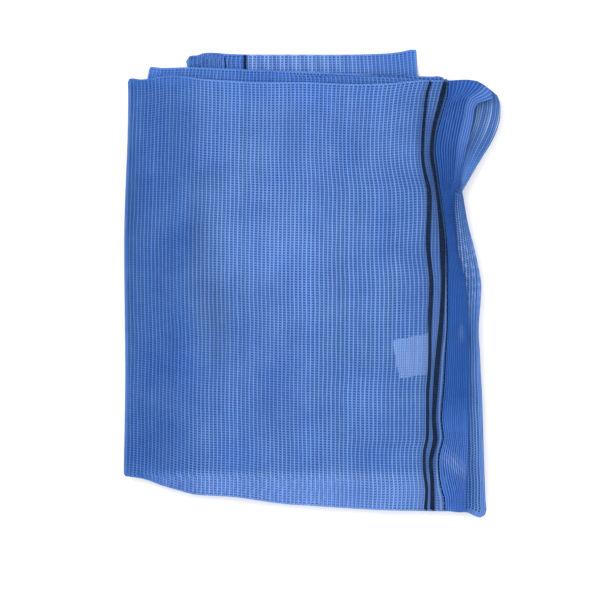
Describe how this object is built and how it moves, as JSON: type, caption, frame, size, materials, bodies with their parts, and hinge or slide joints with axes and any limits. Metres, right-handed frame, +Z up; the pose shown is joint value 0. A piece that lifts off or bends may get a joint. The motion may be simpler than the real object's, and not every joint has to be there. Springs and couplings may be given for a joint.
{
  "type": "hay net",
  "caption": "Fine ribbed mesh hay net with a stitched drawcord mouth hem, zigzag-folded flat into a bundle that unfolds lengthwise.",
  "frame": {"origin": "centre of the folded bundle's bottom face, on the surface it lies on", "axes": "+X towards the mouth hem, +Y along the knitted ribs, +Z up from the surface through the folds"},
  "size_m": [0.3019, 0.3749, 0.0133],
  "materials": {
    "mesh": "satin knitted polyethylene or polyester yarn, open ribbed mesh",
    "hem": "satin knitted yarn, closed up and double",
    "stripe": "matte black knitted yarn",
    "thread": "matte black sewing thread",
    "label": "smooth woven label tape, blank",
    "cord": "braided cord"
  },
  "bodies": {
    "back_fold": {"back_fold_lower_ply": "mesh", "back_fold_upper_ply": "mesh", "bottom_hem_band": "hem", "bottom_seam_thread": "thread", "bottom_black_stripe": "stripe"},
    "middle_fold": {"middle_fold_lower_ply": "mesh", "middle_fold_upper_ply": "mesh"},
    "front_fold": {"front_fold_inner_ply": "mesh", "front_fold_outer_ply": "mesh", "narrow_black_stripe": "stripe", "wide_black_stripe": "stripe", "hem_seam_thread": "thread", "care_label": "label"},
    "mouth_hem": {"mouth_hem_front_band": "hem", "mouth_hem_back_band": "mesh"},
    "drawcord": {"drawcord": "cord"}
  },
  "joints": [
    {"name": "unfold_middle", "type": "hinge", "parent": "back_fold", "child": "middle_fold", "pos_m": [0.1088, 0, 0.00425], "axis": [0, 1, 0], "range_deg": [0, 180]},
    {"name": "unfold_front", "type": "hinge", "parent": "middle_fold", "child": "front_fold", "pos_m": [-0.1511, 0, 0.00795], "axis": [0, -1, 0], "range_deg": [0, 180]},
    {"name": "turn_back_hem", "type": "hinge", "parent": "front_fold", "child": "mouth_hem", "pos_m": [0.1096, 0, 0.014], "axis": [0, -1, 0], "range_deg": [0, 165]},
    {"name": "pull_drawcord", "type": "slide", "parent": "mouth_hem", "child": "drawcord", "axis": [0, -1, 0], "range_m": [0, 0.12]}
  ],
  "couplings": [
    {"joint": "unfold_front", "follows": "unfold_middle", "ratio": 1}
  ]
}
